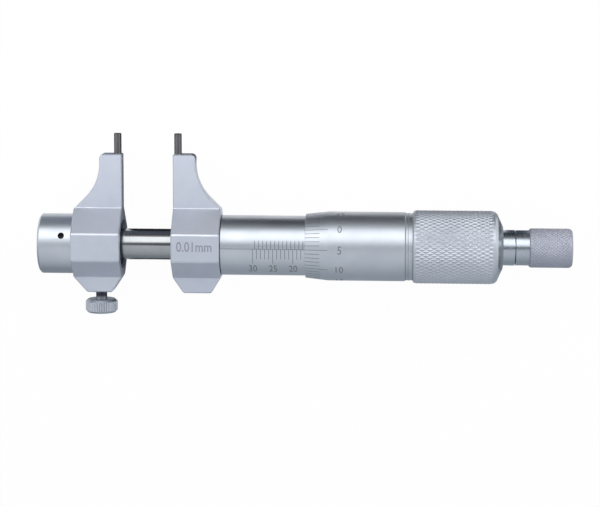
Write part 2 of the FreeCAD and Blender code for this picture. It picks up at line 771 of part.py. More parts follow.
cylinder(spindle, "stud_hole", s.carrier_stud_diameter / 2, spindle_right - stud_hole_left + OVERCUT,
         (stud_hole_left - spindle_left, 0, 0), ALONG_X)

spindle_nut = ring("spindle_nut", spindle_left, s.spindle_nut_thickness, s.spindle_stub_diameter / 2,
                   s.spindle_nut_diameter / 2)
box(spindle_nut, "spindle_nut_slot", (-OVERCUT, -s.screw_slot_width / 2, -s.spindle_nut_diameter),
    (OVERCUT + s.screw_slot_depth, s.screw_slot_width, 2 * s.spindle_nut_diameter))

# The thimble. Its thin bevelled edge reads against the sleeve, and its back is bored to seat on the screw's taper.
thimble = new_body("thimble", thimble_left)
edge_radius = thimble_bore_radius + s.thimble_edge_wall
thimble_radius = edge_radius + s.thimble_bevel_rise
knurl_radius = thimble_radius + s.knurl_rise
groove_radius = thimble_radius - s.groove_depth
knurl_left = s.thimble_plain_length + s.groove_length
knurl_right = knurl_left + s.knurl_length
turn(thimble, "thimble_turned", [
    (0, thimble_bore_radius),
    (0, edge_radius),
    (s.thimble_bevel_length, thimble_radius),
    (s.thimble_plain_length, thimble_radius),
    (s.thimble_plain_length, groove_radius),
    (knurl_left, groove_radius),
    (knurl_left, knurl_radius - s.knurl_edge),
    (knurl_left + s.knurl_edge, knurl_radius),
    (knurl_right - s.knurl_corner, knurl_radius),
    (knurl_right, knurl_radius - s.knurl_corner),
    (s.thimble_length, s.thimble_end_diameter / 2),
    (s.thimble_length, s.carrier_spigot_diameter / 2),
    (spindle_right - thimble_left, s.carrier_spigot_diameter / 2),
    (spindle_right - thimble_left, s.taper_small_diameter / 2),
    (taper_left - thimble_left, s.taper_large_diameter / 2),
    (taper_left - thimble_left, thimble_bore_radius),
])

# The ratchet's carrier screws into the measuring screw and clamps the thimble. The knob turns on its round step and
# stem, and its square holds the wheel from turning.
carrier = new_body("ratchet_carrier", stud_left)
flange_left = thimble_right - stud_left
flange_right = flange_left + s.carrier_length
stem_top = wheel_left - stud_left
spigot_start = flange_left - s.carrier_spigot_length
turn(carrier, "carrier_turned", [
    (0, 0),
    (0, s.carrier_stud_diameter / 2),
    (spigot_start, s.carrier_stud_diameter / 2),
    (spigot_start, s.carrier_spigot_diameter / 2),
    (flange_left, s.carrier_spigot_diameter / 2),
    (flange_left, s.carrier_diameter / 2),
    (flange_right, s.carrier_diameter / 2),
    (flange_right, s.knob_step_diameter / 2),
    (step_right - stud_left, s.knob_step_diameter / 2),
    (step_right - stud_left, s.stem_diameter / 2),
    (stem_top, s.stem_diameter / 2),
    (stem_top, 0),
])
box(carrier, "stem_square", (stem_top - OVERCUT, -s.stem_square / 2, -s.stem_square / 2),
    (stem_right - wheel_left + OVERCUT, s.stem_square, s.stem_square), "Additive")
cylinder(carrier, "stop_screw_hole", s.stop_screw_diameter / 2, s.stop_screw_length + OVERCUT,
         (stem_right - s.stop_screw_length - stud_left, 0, 0), ALONG_X)

# The ratchet knob, with saw teeth sunk in the floor of its bore.
knob = new_body("ratchet_knob", knob_left)
knob_length = s.knob_neck_length + s.knob_length
knob_radius = s.knob_diameter / 2
stem_bore_radius = s.stem_diameter / 2 + s.spindle_clearance
turn(knob, "knob_turned", [
    (0, stem_bore_radius),
    (0, s.knob_neck_diameter / 2),
    (s.knob_neck_length, s.knob_neck_diameter / 2),
    (s.knob_neck_length, knob_radius - s.knob_chamfer),
    (s.knob_neck_length + s.knob_chamfer, knob_radius),
    (knob_length - s.knob_chamfer, knob_radius),
    (knob_length, knob_radius - s.knob_chamfer),
    (knob_length, s.knob_bore_diameter / 2),
    (s.knob_floor, s.knob_bore_diameter / 2),
    (s.knob_floor, stem_bore_radius),
])
groove_sketch = new_sketch(knob, "tooth_groove_outline", "XZ_Plane")
add_outline(groove_sketch, [
    (s.knob_floor - s.tooth_height, s.tooth_width / 2),
    (s.knob_floor + s.tooth_clearance, s.tooth_width / 2),
    (s.knob_floor + s.tooth_clearance, -s.tooth_width / 2),
    (s.knob_floor, -s.tooth_width / 2),
])
tooth_groove = knob.newObject("PartDesign::Pocket", "tooth_groove")
tooth_groove.Profile = groove_sketch
tooth_groove.Reversed = False
bind(tooth_groove, "Length", s.knob_bore_diameter / 2)
around_axis(knob, "tooth_grooves", tooth_groove, s.wheel_teeth)

# The ratchet wheel is held from turning by the stem's square. Its teeth lie in the knob's until the force is too great.
wheel = ring("ratchet_wheel", wheel_left, s.wheel_thickness, s.stem_square / 2, s.wheel_diameter / 2)
tooth_sketch = new_sketch(wheel, "wheel_tooth_outline", "XZ_Plane")
add_outline(tooth_sketch, [
    (-s.tooth_height, s.tooth_width / 2 - s.tooth_clearance),
    (0, s.tooth_width / 2 - s.tooth_clearance),
    (0, s.tooth_clearance - s.tooth_width / 2),
])
wheel_tooth = wheel.newObject("PartDesign::Pad", "wheel_tooth")
wheel_tooth.Profile = tooth_sketch
wheel_tooth.Reversed = True
bind(wheel_tooth, "Length", s.wheel_diameter / 2)
around_axis(wheel, "wheel_teeth", wheel_tooth, s.wheel_teeth)
cylinder(wheel, "stem_relief", stem_bore_radius, s.tooth_height + OVERCUT, (-(s.tooth_height + OVERCUT), 0, 0), ALONG_X)
square_hole = s.stem_square + 2 * s.key_clearance
box(wheel, "square_hole", (-OVERCUT, -square_hole / 2, -square_hole / 2),
    (s.wheel_thickness + 2 * OVERCUT, square_hole, square_hole))

# The ratchet spring, wound from square wire, between the wheel and the stop screw's head.
spring = new_body("ratchet_spring", wheel_right + s.spring_wire / 2)
wire_section = new_sketch(spring, "wire_section", "XY_Plane")
spring_radius = s.spring_diameter / 2
add_outline(wire_section, [
    (-s.spring_wire / 2, spring_radius - s.spring_wire),
    (s.spring_wire / 2, spring_radius - s.spring_wire),
    (s.spring_wire / 2, spring_radius),
    (-s.spring_wire / 2, spring_radius),
])
coil = spring.newObject("PartDesign::AdditiveHelix", "coil")
coil.Profile = wire_section
coil.ReferenceAxis = (wire_section, ["H_Axis"])
coil.Mode = "height-turns-angle"
bind(coil, "Height", stem_right - wheel_right - s.spring_wire)
bind(coil, "Turns", s.spring_turns)

# The stop screw's head closes the spring in and keeps the knob on its stem.
stop_screw = new_body("stop_screw", stem_right - s.stop_screw_length)
stop_screw_end = s.stop_screw_length + s.stop_screw_head_thickness
turn(stop_screw, "stop_screw_turned", [
    (0, 0),
    (0, s.stop_screw_diameter / 2),
    (s.stop_screw_length, s.stop_screw_diameter / 2),
    (s.stop_screw_length, s.stop_screw_head_diameter / 2),
    (stop_screw_end, s.stop_screw_head_diameter / 2),
    (stop_screw_end, 0),
])
slot(stop_screw, "stop_screw_slot", stop_screw_end, s.stop_screw_head_diameter)

# The lock screw under the moving jaw, with its zero at its tip. Fingers turn it by the flutes on its head.
lock_screw = new_body("lock_screw", lock_axis, shoe_bottom, 0, POINTING_DOWN)
lock_tab = shoe_bottom + s.tab_bottom
lock_head_left = lock_tab + s.lock_neck_length
lock_head_right = lock_head_left + s.lock_head_thickness
lock_head_radius = s.lock_head_diameter / 2
turn(lock_screw, "lock_screw_turned", [
    (0, 0),
    (0, s.lock_thread_diameter / 2),
    (lock_tab - s.jaw_bevel, s.lock_thread_diameter / 2),
    (lock_tab - s.jaw_bevel, s.lock_neck_diameter / 2),
    (lock_head_left, s.lock_neck_diameter / 2),
    (lock_head_left, lock_head_radius - s.lock_head_chamfer),
    (lock_head_left + s.lock_head_chamfer, lock_head_radius),
    (lock_head_right - s.lock_head_chamfer, lock_head_radius),
    (lock_head_right, lock_head_radius - s.lock_head_chamfer),
    (lock_head_right, 0),
])
flute_outline = new_sketch(lock_screw, "flute_outline", "YZ_Plane")
add_outline(flute_outline, [
    (0, lock_head_radius - s.lock_flute_depth),
    (s.lock_flute_width, lock_head_radius + s.lock_flute_depth),
    (-s.lock_flute_width, lock_head_radius + s.lock_flute_depth),
])
flute = cut_through(lock_screw, "flute", flute_outline)
around_axis(lock_screw, "flutes", flute, s.lock_flutes)

# The brass shoe carries the lock screw's push through the tube's wall to the measuring screw.
shoe = new_body("lock_shoe", lock_axis, shoe_bottom, 0, POINTING_UP)
turn(shoe, "lock_shoe_turned", [
    (0, 0),
    (0, s.shoe_diameter / 2),
    (s.shoe_length, s.shoe_diameter / 2),
    (s.shoe_length, 0),
])

doc.recompute()

for item in doc.Objects:
    if "Invalid" in item.State or "Error" in item.State:
        raise RuntimeError(f"{item.Name} failed: {item.State}")
for piece in pieces:
    if piece.Shape.isNull() or not piece.Shape.isValid():
        raise RuntimeError(f"{piece.Label} has no sound shape")

os.makedirs("parts", exist_ok=True)
for piece in pieces:
    piece.Shape.exportStep(os.path.join("parts", f"{piece.Label}.step"))
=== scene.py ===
"""Looks of an inside micrometer, 5 to 30 mm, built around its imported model: the finish of every metal piece, the
graduations and their numbers, the knurled thimble and ratchet knob, and a pale table with soft studio light."""

import math

import bmesh
import bpy
from mathutils import Matrix, Vector


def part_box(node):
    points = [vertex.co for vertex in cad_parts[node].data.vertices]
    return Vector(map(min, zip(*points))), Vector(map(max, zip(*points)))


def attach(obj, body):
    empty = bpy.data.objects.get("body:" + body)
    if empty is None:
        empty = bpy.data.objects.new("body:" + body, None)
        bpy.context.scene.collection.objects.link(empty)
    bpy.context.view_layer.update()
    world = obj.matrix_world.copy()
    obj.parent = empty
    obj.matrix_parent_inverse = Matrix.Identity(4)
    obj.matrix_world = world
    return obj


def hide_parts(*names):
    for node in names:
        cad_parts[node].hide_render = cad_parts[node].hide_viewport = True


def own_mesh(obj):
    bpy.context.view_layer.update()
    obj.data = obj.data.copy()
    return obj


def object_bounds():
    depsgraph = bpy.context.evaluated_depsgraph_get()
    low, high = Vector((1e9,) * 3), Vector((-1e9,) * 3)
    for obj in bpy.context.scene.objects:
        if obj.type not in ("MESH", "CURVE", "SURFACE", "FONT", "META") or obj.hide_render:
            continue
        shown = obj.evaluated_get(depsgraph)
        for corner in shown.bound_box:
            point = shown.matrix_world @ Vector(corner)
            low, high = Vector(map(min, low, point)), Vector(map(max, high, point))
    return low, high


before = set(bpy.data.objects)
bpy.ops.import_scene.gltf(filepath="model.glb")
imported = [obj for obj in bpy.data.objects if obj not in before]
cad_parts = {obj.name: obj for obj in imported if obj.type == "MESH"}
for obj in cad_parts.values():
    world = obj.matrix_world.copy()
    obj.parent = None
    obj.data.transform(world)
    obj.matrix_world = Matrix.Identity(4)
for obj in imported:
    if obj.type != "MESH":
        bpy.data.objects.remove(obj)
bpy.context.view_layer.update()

# The two jaws. Each is milled from one steel forging, ground and finely blasted on its facets and satin chrome
# plated, so it has a soft pearly grey with no sharp reflections, and thin bright lines where its bevelled edges catch
# the light.
MM = 0.001
TARNISH_SIZE = 6.0
MARK_DEPTH = 0.01


def linear(code):
    """The linear red, green, blue and alpha of a colour written as sRGB hex."""
    parts = [int(code[at:at + 2], 16) / 255 for at in (0, 2, 4)]
    return [part / 12.92 if part <= 0.04045 else ((part + 0.055) / 1.055) ** 2.4 for part in parts] + [1.0]


def new_material(name):
    """An empty node material, and its tree."""
    material = bpy.data.materials.new(name)
    material.use_nodes = True
    material.node_tree.nodes.clear()
    return material, material.node_tree


def add_node(tree, kind, inputs=None, **settings):
    """A node with its settings. Each input is a plain value, or another node's output, which is linked to it."""
    made = tree.nodes.new("ShaderNode" + kind)
    for setting, value in settings.items():
        setattr(made, setting, value)
    for socket, value in (inputs or {}).items():
        if isinstance(value, bpy.types.NodeSocket):
            tree.links.new(value, made.inputs[socket])
        else:
            made.inputs[socket].default_value = value
    return made


def metal(name, colour, worn_colour, roughness, spread, grain, stretch=(1, 1, 1), bump=0.3, painted_shade=None):
    """A bare or plated metal. grain is the size in millimetres of its finest marks, stretch draws them out along an
    axis, spread is how far the roughness strays, and worn_colour shows in cloudy patches. The last argument darkens it
    with painted shade along its height: the height where it is unshaded, the height where it is fully shaded, and the
    shade's colour."""
    material, tree = new_material(name)
    place = add_node(tree, "TexCoord").outputs["Object"]
    drawn_out = add_node(tree, "Mapping", {"Vector": place, "Scale": stretch}).outputs["Vector"]
    marks = add_node(tree, "TexNoise", {"Vector": drawn_out, "Scale": 1 / (grain * MM), "Detail": 2.0,
                                        "Roughness": 0.6}).outputs["Fac"]
    clouds = add_node(tree, "TexNoise", {"Vector": place, "Scale": 1 / (TARNISH_SIZE * MM),
                                         "Detail": 3.0}).outputs["Fac"]
    patches = add_node(tree, "MapRange", {"Value": clouds, "From Min": 0.3, "From Max": 0.7}).outputs["Result"]
    tone = add_node(tree, "Mix", {"Factor": patches, "A": linear(colour), "B": linear(worn_colour)},
                    data_type="RGBA").outputs[2]
    # Painted shade: the colour darkens between two heights, for shade that falls on the piece.
    if painted_shade:
        unshaded_height, shaded_height, shade_colour = painted_shade
        height = add_node(tree, "SeparateXYZ", {0: place}).outputs["Y"]
        shade_share = add_node(tree, "MapRange", {"Value": height, "From Min": unshaded_height * MM,
                                          "From Max": shaded_height * MM}).outputs["Result"]
        tone = add_node(tree, "Mix", {"Factor": shade_share, "A": tone, "B": linear(shade_colour)},
                        data_type="RGBA").outputs[2]
    both = add_node(tree, "Math", {0: marks, 1: clouds}, operation="ADD").outputs[0]
    rough = add_node(tree, "MapRange", {"Value": both, "From Min": 0.7, "From Max": 1.3, "To Min": roughness - spread,
                                        "To Max": roughness + spread}).outputs["Result"]
    relief = add_node(tree, "Bump", {"Height": marks, "Strength": bump, "Distance": MARK_DEPTH * MM}).outputs["Normal"]
    shader = add_node(tree, "BsdfPrincipled", {"Base Color": tone, "Metallic": 1.0, "Roughness": rough,
                                               "Normal": relief})
    add_node(tree, "OutputMaterial", {"Surface": shader.outputs["BSDF"]})
    return material


def dress(material, *names):
    """Give CAD pieces a material."""
    for name in names:
        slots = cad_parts[name].data.materials
        slots.clear()
        slots.append(material)


# Satin chrome over a blasted surface scatters the light softly. The blasted grain under the plate is about 0.05 mm,
# and is drawn three times coarser so that it shows.
jaw_chrome = metal("satin_chrome_plate_on_ground_steel", "CBD0DA", "C3C8D4", roughness=0.52, spread=0.05, grain=0.15)
dress(jaw_chrome, "fixed_jaw", "moving_jaw")

# The milling cutter's round corner leaves a small hollow fillet where the arm and the tab stand on the hub's flats.
# It is the jaw's own steel, under the same plate. A corner is its height, and how far out it is from the axis.
FILLET_RADIUS = 0.5
FILLET_ANGLE = math.radians(45)
FILLET_SUNK = 0.1
ARM_CORNER = (9.35, 2.2)
TAB_CORNER = (-8.05, 3.5)
TAB_INSET = 0.2
FIXED_HUB = (0.12, 11.65)
MOVING_HUB = (-24.65, -13.03)


def corners_in(items):
    """The vertices among the items that an operator made."""
    return [item for item in items if isinstance(item, bmesh.types.BMVert)]


def placed(name, bm, material):
    """An object at the origin, with a bmesh's mesh and a material."""
    mesh = bpy.data.meshes.new(name)
    bm.to_mesh(mesh)
    bm.free()
    mesh.materials.append(material)
    made = bpy.data.objects.new(name, mesh)
    bpy.context.scene.collection.objects.link(made)
    return made


def finished(name, bm, material, body):
    """The piece made from a bmesh in millimetres: scaled to metres, with a material, riding on a body."""
    bmesh.ops.scale(bm, vec=(MM, MM, MM), verts=bm.verts)
    bmesh.ops.recalc_face_normals(bm, faces=bm.faces)
    piece = placed(name, bm, material)
    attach(piece, body)
    return piece


def hollow_fillet(bm, left, right, corner, upwards):
    """A strip that fills the corner between a hub flat and the arm (upwards 1) or the tab (upwards -1)."""
    before = set(bm.verts)
    corner_up, corner_out = corner
    start_up = corner_up + upwards * FILLET_RADIUS * math.tan(FILLET_ANGLE / 2)
    start = bm.verts.new((left, start_up, corner_out))
    bmesh.ops.spin(bm, geom=[start], cent=(left, start_up, corner_out + FILLET_RADIUS), axis=(-upwards, 0, 0),
                   angle=FILLET_ANGLE, steps=8)
    bm.verts.new((left, corner_up - upwards * FILLET_SUNK, corner_out - FILLET_SUNK))
    section = bm.faces.new([vert for vert in bm.verts if vert not in before])
    far_end = corners_in(bmesh.ops.extrude_face_region(bm, geom=[section])["geom"])
    bmesh.ops.translate(bm, vec=(right - left, 0, 0), verts=far_end)


for name, body, (left, right) in (("fixed_jaw_fillets", "frame", FIXED_HUB),
                                  ("moving_jaw_fillets", "carriage", MOVING_HUB)):
    bm = bmesh.new()
    hollow_fillet(bm, left, right, ARM_CORNER, upwards=1)
    hollow_fillet(bm, left + TAB_INSET, right - TAB_INSET, TAB_CORNER, upwards=-1)
    finished(name, bm, jaw_chrome, body)

# The measuring pins are ground carbide, a darker and warmer grey than the chrome, and their shanks are pressed into
# the arms. The wheel runs along them and leaves lines about 0.02 mm apart, drawn at 0.12 mm so that they show.
carbide = metal("ground_carbide", "747273", "656365", roughness=0.28, spread=0.06, grain=0.12, stretch=(1, 1, 0.15))
dress(carbide, "fixed_pin", "moving_pin")

# The guide tube and the measuring screw in it are hardened, ground and lapped steel, as bright as a mirror. A ring nut
# holds the tube in the moving jaw, and it slides in the fixed one. Lapping leaves hair lines along it, drawn at 0.1 mm.
lapped_steel = metal("lapped_hardened_steel", "A9ACAE", "9DA0A2", roughness=0.14, spread=0.03, grain=0.1,
                     stretch=(1, 0.1, 0.1), bump=0.1)
dress(lapped_steel, "guide_tube", "spindle")

# The barrel, its adjusting nut, the guide key, the nuts and the thrust washers are plain turned steel, oiled, and a
# warmer grey than the plated pieces. The jaws, the sleeve, the thimble and the cap cover them.
plain_steel = metal("oiled_turned_steel", "9B9893", "86837E", roughness=0.34, spread=0.06, grain=0.15,
                    stretch=(1, 0.08, 0.08))
dress(plain_steel, "barrel", "adjusting_nut", "guide_key", "tube_nut", "spindle_nut", "left_thrust_washer",
      "right_thrust_washer")

# The lock screw is turned steel with a straight knurl on its head, satin chrome plated. Its neck is darkened towards
# the jaw with painted shade, for the shadow under the jaw's tab. It screws up into the moving jaw and pushes a shoe
# of turned brass, warm yellow and a little dull, against the measuring screw.
PAINTED_NECK_SHADE = (-14.4, -13.1, "3C4047")
lock_chrome = metal("satin_chrome_plate_with_painted_shade_on_neck", "C4C9D0", "BAC0C9", roughness=0.38, spread=0.04, grain=0.12,
                    painted_shade=PAINTED_NECK_SHADE)
dress(lock_chrome, "lock_screw")
shoe_brass = metal("turned_brass", "C9A45C", "B08E4B", roughness=0.3, spread=0.06, grain=0.1)
dress(shoe_brass, "lock_shoe")

# The end cap is turned steel and screws onto the moving jaw. Its satin chrome is smoother than the jaws' and draws
# the light into a soft band. The tool's feed leaves faint rings about 0.05 mm apart, drawn at 0.12 mm to show.
FEED_RINGS = (1, 0.06, 0.06)
turned_chrome = metal("satin_chrome_plate_on_turned_steel", "C4C9D0", "BCC2CA", roughness=0.38, spread=0.03,
                      grain=0.12, stretch=FEED_RINGS)
dress(turned_chrome, "end_cap")

# The spanner hole in the end cap holds years of oil and dust, and its lining is near black, which also paints in
# the shade at the bottom of the hole. This lines the hole that is drilled in the cap's solid.
CAP_RADIUS = 7.55
HOLE_ALONG = -27.56
HOLE_ANGLE = 22
LINING_RADIUS = 0.79
LINING_FLOOR = 1.38
LINING_HEIGHT = 1.36
LINING_WALL = 0.03
WEAR_SIZE = 0.6
WEAR_DEPTH = 0.005


def paint_fill(name, colour, worn_colour):
    """Matt enamel in engraved lines, or a dark matt fill in a corner for painted shade and for oil and dust, a little
    thinner here and there.
    """
    material, tree = new_material(name)
    place = add_node(tree, "TexCoord").outputs["Object"]
    wear = add_node(tree, "TexNoise", {"Vector": place, "Scale": 1 / (WEAR_SIZE * MM), "Detail": 2.0}).outputs["Fac"]
    tone = add_node(tree, "Mix", {"Factor": wear, "A": linear(colour), "B": linear(worn_colour)},
                    data_type="RGBA").outputs[2]
    relief = add_node(tree, "Bump", {"Height": wear, "Strength": 0.2, "Distance": WEAR_DEPTH * MM}).outputs["Normal"]
    shader = add_node(tree, "BsdfPrincipled", {"Base Color": tone, "Roughness": 0.55, "Normal": relief})
    add_node(tree, "OutputMaterial", {"Surface": shader.outputs["BSDF"]})
    return material


grime_and_shade_lining = paint_fill("oil_dust_and_painted_shade", "121316", "1C1D20")
bm = bmesh.new()
bmesh.ops.create_circle(bm, cap_ends=True, radius=LINING_RADIUS, segments=32)
rim = [edge for edge in bm.edges if edge.is_boundary]
mouth = corners_in(bmesh.ops.extrude_edge_only(bm, edges=rim)["geom"])
bmesh.ops.translate(bm, vec=(0, 0, LINING_HEIGHT), verts=mouth)
bmesh.ops.solidify(bm, geom=bm.faces, thickness=LINING_WALL)
bmesh.ops.transform(bm, verts=bm.verts, matrix=(Matrix.Rotation(math.radians(-HOLE_ANGLE), 4, "X")
                                                @ Matrix.Translation((HOLE_ALONG, 0, CAP_RADIUS - LINING_FLOOR))))
finished("spanner_hole_grime_and_painted_shade", bm, grime_and_shade_lining, "carriage")

# The scale sleeve is turned steel with the same plate as the cap, pushed over the barrel. Its scale is engraved and
# filled with matt grey enamel: half millimetres above the line, whole ones below it, and a number at every fifth.
SLEEVE_RADIUS = 7.525
DATUM_LEFT = 12.2
DATUM_LENGTH = 34.9
SCALE_ZERO = 20.4
FIRST_READING = 5
LAST_READING = 30
MARK_WIDTH = 0.15
HALF_MARK = 2.1
WHOLE_MARK = 2.6
FIFTH_MARK = 3.9
SLEEVE_NUMBER_HEIGHT = 2.5
SLEEVE_NUMBER_NARROW = 0.62
SLEEVE_NUMBER_ANGLE = -43.4
LINE_WIDTH = 0.14
INK_DEPTH = 0.03
INK_PROUD = 0.015
INK_MIDDLE = INK_PROUD - INK_DEPTH / 2
dress(turned_chrome, "scale_sleeve")


def with_edges_and_faces(verts):
    """The vertices, and every edge and face on them."""
    edges = dict.fromkeys(edge for vert in verts for edge in vert.link_edges)
    faces = dict.fromkeys(face for vert in verts for face in vert.link_faces)
    return list(verts) + list(edges) + list(faces)


def engrave_round(bm, radius, along, from_angle, to_angle):
    """A filled mark round the axis, from one angle to another above the front."""
    plate = bmesh.ops.create_grid(bm, x_segments=1, y_segments=1, size=0.5)["verts"]
    bmesh.ops.scale(bm, vec=(MARK_WIDTH, INK_DEPTH, 1), verts=plate)
    bmesh.ops.rotate(bm, matrix=Matrix.Rotation(math.radians(90 - from_angle), 3, "X"), verts=plate)
    front = Vector((0, math.sin(math.radians(from_angle)), math.cos(math.radians(from_angle))))
    bmesh.ops.translate(bm, vec=front * (radius + INK_MIDDLE) + Vector((along, 0, 0)), verts=plate)
    bmesh.ops.spin(bm, geom=with_edges_and_faces(plate), cent=(0, 0, 0), axis=(-1, 0, 0),
                   angle=math.radians(to_angle - from_angle), steps=4, use_duplicate=False)


def engrave_along(bm, radius, left, length, angle, slope=0.0):
    """A filled line along the axis, on a cylinder, or on a cone that rises to the right by a slope in degrees."""
    middle_radius = radius + length / 2 * math.tan(math.radians(slope))
    place = (Matrix.Rotation(math.radians(-angle), 4, "X")
             @ Matrix.Translation((left + length / 2, 0, middle_radius + INK_MIDDLE))
             @ Matrix.Rotation(math.radians(-slope), 4, "Y")
             @ Matrix.Diagonal((length / math.cos(math.radians(slope)), LINE_WIDTH, INK_DEPTH, 1)))
    bmesh.ops.create_cube(bm, size=1.0, matrix=place)


def lettering(bm, text, height, narrow, heavier=0.0):
    """Flat letters of a height in millimetres, narrowed from the usual width and added with their middle at the
    origin, and their new corners."""
    curve = bpy.data.curves.new("letters", "FONT")
    curve.body = text
    curve.extrude = 0.5
    curve.offset = heavier
    curve.resolution_u = 4
    letters = bpy.data.objects.new("letters", curve)
    mesh = bpy.data.meshes.new_from_object(letters)
    before = set(bm.verts)
    bm.from_mesh(mesh)
    bpy.data.objects.remove(letters)
    bpy.data.curves.remove(curve)
    bpy.data.meshes.remove(mesh)
    bmesh.ops.remove_doubles(bm, verts=[vert for vert in bm.verts if vert not in before], dist=1e-5)
    made = [vert for vert in bm.verts if vert not in before]
    low = Vector([min(vert.co[axis] for vert in made) for axis in range(3)])
    high = Vector([max(vert.co[axis] for vert in made) for axis in range(3)])
    size = height / (high.y - low.y)
    bmesh.ops.translate(bm, vec=-(low + high) / 2, verts=made)
    bmesh.ops.scale(bm, vec=(size * narrow, size, INK_DEPTH), verts=made)
    return made


def number_round(bm, text, height, narrow, radius, along, angle):
    """A number wrapped on a cylinder, upright as seen from the scale's side. It is cut into strips so that it bends."""
    made = set(lettering(bm, text, height, narrow))
    strips = 6
    for cut in range(1, strips):
        level = (cut / strips - 0.5) * height
        new = bmesh.ops.bisect_plane(bm, geom=with_edges_and_faces(made), dist=1e-6, plane_co=(0, level, 0),
                                     plane_no=(0, 1, 0))
        made.update(corners_in(new["geom_cut"]))
    for vert in made:
        reach = radius + INK_MIDDLE + vert.co.z
        turned_by = math.radians(angle) + vert.co.y / radius
        vert.co = (along + vert.co.x, reach * math.sin(turned_by), reach * math.cos(turned_by))


scale_grey = paint_fill("grey_enamel_in_engraved_lines", "55585F", "7A7E86")
bm = bmesh.new()
engrave_along(bm, SLEEVE_RADIUS, DATUM_LEFT, DATUM_LENGTH, 0)
for half in range(2 * (LAST_READING - FIRST_READING) + 1):
    reading = LAST_READING - half / 2
    along = SCALE_ZERO + LAST_READING - reading
    if half % 2:
        engrave_round(bm, SLEEVE_RADIUS, along, 0, math.degrees(HALF_MARK / SLEEVE_RADIUS))
    else:
        length = FIFTH_MARK if reading % 5 == 0 else WHOLE_MARK
        engrave_round(bm, SLEEVE_RADIUS, along, -math.degrees(length / SLEEVE_RADIUS), 0)
for reading in range(LAST_READING, 0, -5):
    number_round(bm, str(reading), SLEEVE_NUMBER_HEIGHT, SLEEVE_NUMBER_NARROW, SLEEVE_RADIUS,
                 SCALE_ZERO + LAST_READING - reading, SLEEVE_NUMBER_ANGLE)
finished("sleeve_scale", bm, scale_grey, "frame")

# The value of the smallest division is engraved on the fixed jaw's front and filled with a paler grey enamel, which
# stands out only a little from the plate.
JAW_FRONT = 8.15
VALUE_MIDDLE = (5.85, 0.45)
VALUE_HEIGHT = 2.5
VALUE_NARROW = 0.8
VALUE_HEAVIER = 0.012
value_grey = paint_fill("pale_grey_enamel_in_engraved_lines", "7C8090", "8A8E9E")
bm = bmesh.new()
value = lettering(bm, "0.01mm", VALUE_HEIGHT, VALUE_NARROW, VALUE_HEAVIER)
bmesh.ops.translate(bm, vec=(*VALUE_MIDDLE, JAW_FRONT + INK_MIDDLE), verts=value)
finished("division_value", bm, value_grey, "frame")

# The thimble is turned steel with a bevelled front edge and a diamond knurl pressed into its rim, satin chrome plated,
# and seats on the measuring screw's taper. Its plain part is a little duller than the sleeve, the knurl is dull, and
# the cone at its end is nearly bright. The rings and the knurl's grain are drawn at 0.12 mm, coarser than they are.
thimble_chrome = metal("satin_chrome_plate_on_knurled_thimble", "C4C9D0", "BCC2CA", roughness=0.43, spread=0.03,
                       grain=0.12, stretch=FEED_RINGS)
knurl_chrome = metal("satin_chrome_plate_on_pressed_knurl", "C6CBD3", "BEC3CC", roughness=0.55, spread=0.04,
                     grain=0.12)
bright_chrome = metal("chrome_plate_on_turned_steel", "B2B9C1", "AAB1BA", roughness=0.28, spread=0.03, grain=0.12,
                      stretch=FEED_RINGS, bump=0.12)
THIMBLE_LEFT = 33.35
THIMBLE_BORE = 7.625
THIMBLE_EDGE = 8.025
THIMBLE_RADIUS = 8.675
BEVEL_LENGTH = 5.8
PLAIN_RIGHT = 58.25
GROOVE_RADIUS = 8.475
GROOVE_RINGS = (PLAIN_RIGHT + 0.5, PLAIN_RIGHT + 1.3)
RING_DEPTH = 0.08
RING_WIDTH = 0.3
KNURL_LEFT = 60.25
KNURL_END = 80.5
KNURL_ROOT = 9.02
KNURL_TIP = 9.175
KNURL_AROUND = 56
KNURL_PITCH = 2.0
KNURL_SUNK = 0.04
DIAMOND_TOP = 0.25
CONE_LEFT = 81.2
CONE_TOP = 8.4
CONE_FOOT = 5.3
THIMBLE_RIGHT = 82.55
CARRIER_HOLE = 4.2
THIMBLE_SIDES = 144
EDGE_BREAK = 0.05
SHOULDER_BREAK = 0.12
KNURL_BREAK = 0.2


def turned(bm, profile, sides):
    """A closed ring with a profile of distance along the axis and radius, spun about the axis."""
    corners = [bm.verts.new((along, 0, radius)) for along, radius in profile]
    edges = [bm.edges.new(pair) for pair in zip(corners, corners[1:] + corners[:1])]
    bmesh.ops.spin(bm, geom=corners + edges, cent=(0, 0, 0), axis=(1, 0, 0), angle=2 * math.pi, steps=sides,
                   use_merge=True)
    bmesh.ops.remove_doubles(bm, verts=bm.verts, dist=1e-4)
    bmesh.ops.recalc_face_normals(bm, faces=bm.faces)


def diamond_knurl(bm, left, right, root, tip, around, pitch):
    """Raised diamonds on a cylinder, in rings half a pitch apart, each ring turned by half a diamond."""
    rows = int((right - left) / (pitch / 2)) - 1
    start = (left + right) / 2 - (rows - 1) * pitch / 4
    for row in range(rows):
        diamond = bmesh.ops.create_cone(bm, cap_ends=True, cap_tris=False, segments=4, radius1=1.0,
                                        radius2=DIAMOND_TOP, depth=1.0)["verts"]
        bmesh.ops.scale(bm, vec=(pitch / 2, math.pi * root / around, tip - root + KNURL_SUNK), verts=diamond)
        bmesh.ops.translate(bm, vec=(start + row * pitch / 2, 0, (root + tip - KNURL_SUNK) / 2), verts=diamond)
        bmesh.ops.rotate(bm, matrix=Matrix.Rotation(math.pi / around * (row % 2), 3, "X"), verts=diamond)
        bmesh.ops.spin(bm, geom=with_edges_and_faces(diamond), cent=(0, 0, 0), axis=(1, 0, 0),
                       angle=2 * math.pi * (around - 1) / around, steps=around - 1, use_duplicate=True)


